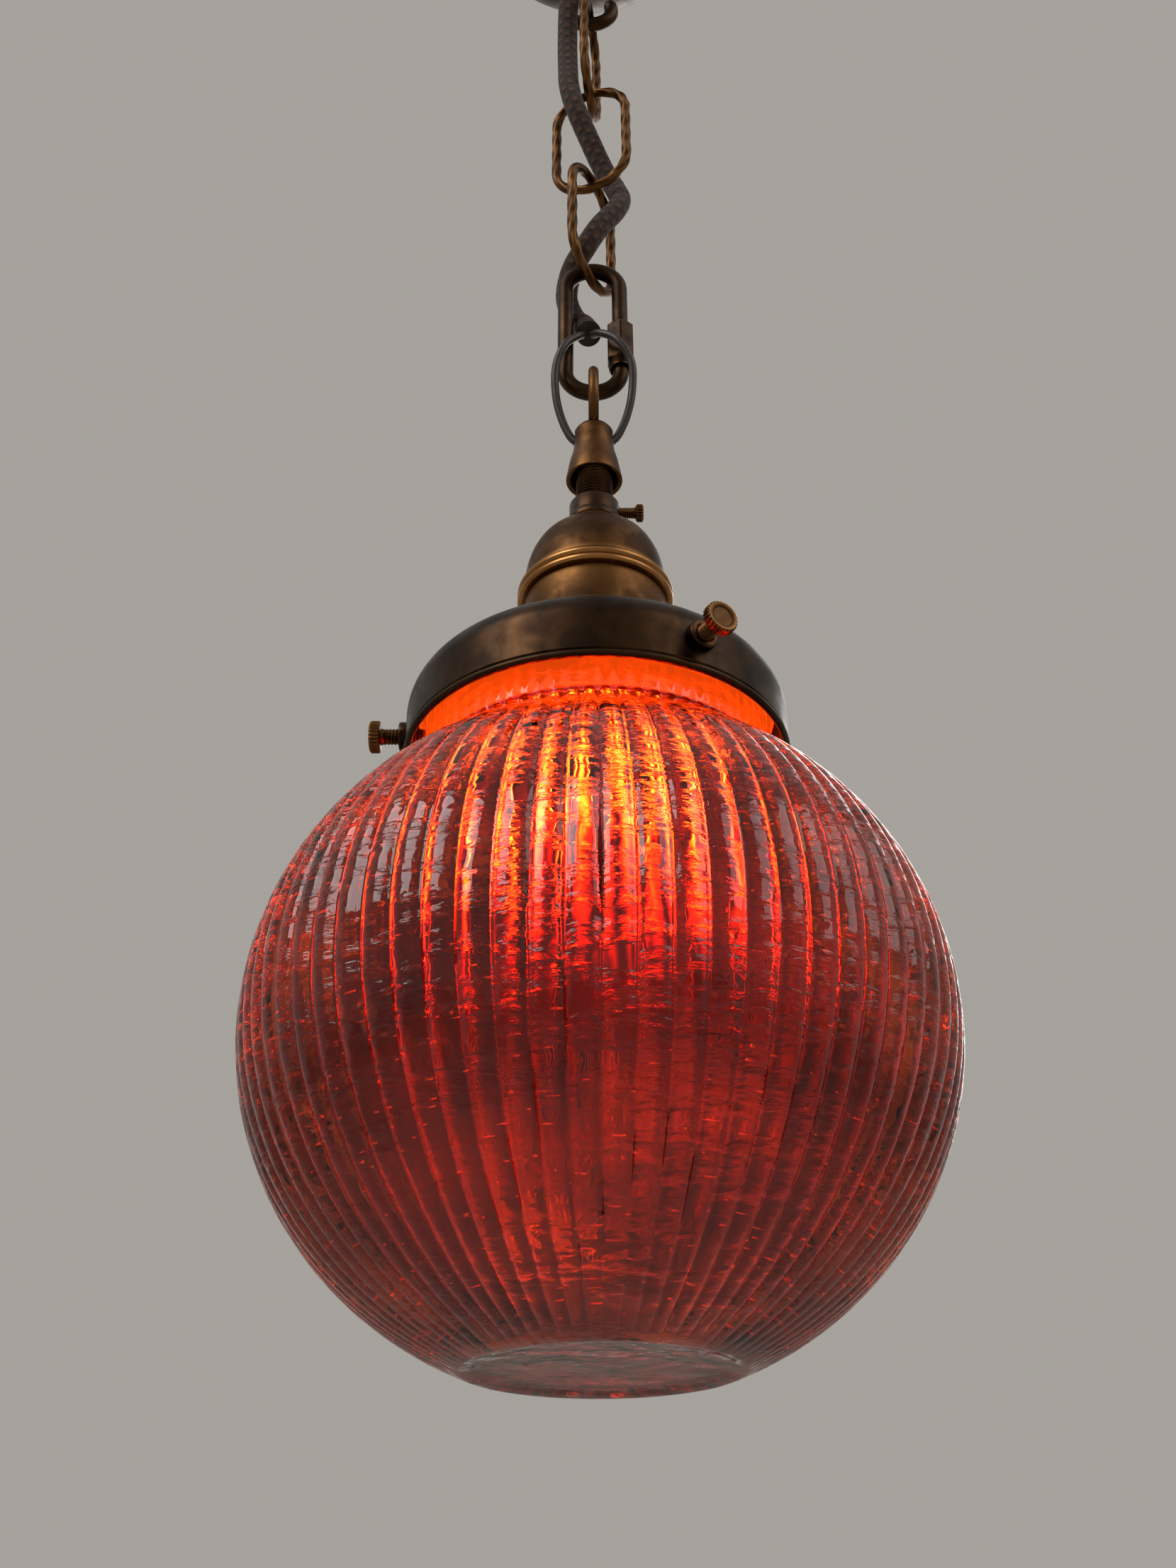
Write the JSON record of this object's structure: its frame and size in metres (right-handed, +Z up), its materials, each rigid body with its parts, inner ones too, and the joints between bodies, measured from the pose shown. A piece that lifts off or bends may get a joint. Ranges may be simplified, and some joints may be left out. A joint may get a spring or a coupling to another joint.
{
  "type": "pendant safelight lamp",
  "caption": "Pendant globe lamp: ribbed, seeded glass globe with a red bulb under an aged brass gallery, hung from a ceiling hook by an oval-link chain with braided flex woven through it.",
  "frame": {"origin": "middle of the backplate's top face, which lies on the ceiling", "axes": "+Z up, away from the lamp; the lamp hangs along -Z; +X is to the right and +Y to the back, seen from the front"},
  "size_m": [0.1516, 0.1516, 0.5155],
  "materials": {
    "aged_brass": "aged satin",
    "dark_brass": "dark antique",
    "bright_brass": "worn bright",
    "zinc_steel": "zinc plated",
    "bulb_steel": "rolled thread",
    "brown_braid": "braided",
    "core_sleeve": "extruded",
    "black_rubber": "moulded",
    "white_plastic": "moulded",
    "white_ceramic": "glazed ceramic",
    "ribbed_glass": "clear, ribbed, seeded with small bubbles",
    "ruby_bulb_glass": "ruby, glossy"
  },
  "bodies": {
    "ceiling_mount": {"backplate": "zinc_steel", "hanger_bridge": "zinc_steel", "hook_nut": "zinc_steel", "canopy": "dark_brass", "cord_grommet": "black_rubber", "terminal_block": "white_plastic", "ceiling_hook": "dark_brass", "flex_cord": "brown_braid"},
    "link_1": {"chain_link_1": "aged_brass"},
    "link_2": {"chain_link_2": "aged_brass"},
    "link_3": {"chain_link_3": "aged_brass"},
    "quick_link": {"quick_link": "dark_brass"},
    "sleeve_nut": {"quick_link_sleeve": "aged_brass"},
    "lamp": {"loop_neck": "aged_brass", "threaded_stem": "aged_brass", "cord_grip_collar": "dark_brass", "lampholder_cap": "aged_brass", "bead_ring": "bright_brass", "lampholder_shell": "aged_brass", "shade_ring_upper": "aged_brass", "shade_ring_lower": "aged_brass", "lampholder_insulator": "white_ceramic", "screw_shell": "bright_brass", "centre_contact": "bright_brass", "terminal_left": "bright_brass", "terminal_right": "bright_brass", "terminal_screw_left": "zinc_steel", "terminal_screw_right": "zinc_steel", "gallery": "dark_brass", "globe": "ribbed_glass", "core_left": "core_sleeve", "core_right": "core_sleeve"},
    "grip_screw": {"cord_grip_screw": "aged_brass"},
    "thumbscrew_1": {"gallery_screw_1": "aged_brass"},
    "thumbscrew_2": {"gallery_screw_2": "aged_brass"},
    "thumbscrew_3": {"gallery_screw_3": "aged_brass"},
    "bulb": {"bulb_glass": "ruby_bulb_glass", "bulb_cap": "bulb_steel", "bulb_tip": "bright_brass"}
  },
  "joints": [
    {"name": "link_1_swing", "type": "hinge", "parent": "ceiling_mount", "child": "link_1", "pos_m": [0, 0, -0.08815], "axis": [1, 0, 0], "range_deg": [-20, 20], "deforming": ["flex_cord"]},
    {"name": "link_2_swing", "type": "hinge", "parent": "link_1", "child": "link_2", "pos_m": [0, 0, -0.1292], "axis": [0.1736, 0.9848, 0], "range_deg": [-18, 18], "deforming": ["flex_cord"]},
    {"name": "link_3_swing", "type": "hinge", "parent": "link_2", "child": "link_3", "pos_m": [0, 0, -0.171], "axis": [0.9397, -0.342, 0], "range_deg": [-18, 18], "deforming": ["flex_cord"]},
    {"name": "quick_link_swing", "type": "hinge", "parent": "link_3", "child": "quick_link", "pos_m": [0, 0, -0.2128], "axis": [0.5, 0.866, 0], "range_deg": [-15, 15], "deforming": ["flex_cord"]},
    {"name": "lamp_swing", "type": "hinge", "parent": "quick_link", "child": "lamp", "pos_m": [0, 0, -0.25755], "axis": [1, 0, 0], "range_deg": [-25, 25], "deforming": ["core_left", "core_right"]},
    {"name": "sleeve_slide", "type": "slide", "parent": "quick_link", "child": "sleeve_nut", "axis": [0, 0, 1], "range_m": [0, 0.01]},
    {"name": "grip_screw_slide", "type": "slide", "parent": "lamp", "child": "grip_screw", "axis": [1, 0, 0], "range_m": [0, 0.0014]},
    {"name": "thumbscrew_1_slide", "type": "slide", "parent": "lamp", "child": "thumbscrew_1", "axis": [-1, 0, 0], "range_m": [0, 0.005]},
    {"name": "thumbscrew_2_slide", "type": "slide", "parent": "lamp", "child": "thumbscrew_2", "axis": [0.5, -0.866, 0], "range_m": [0, 0.005]},
    {"name": "thumbscrew_3_slide", "type": "slide", "parent": "lamp", "child": "thumbscrew_3", "axis": [0.5, 0.866, 0], "range_m": [0, 0.005]},
    {"name": "bulb_turn", "type": "hinge", "parent": "lamp", "child": "bulb", "pos_m": [0, 0, -0.4], "axis": [0, 0, 1], "continuous": true}
  ]
}
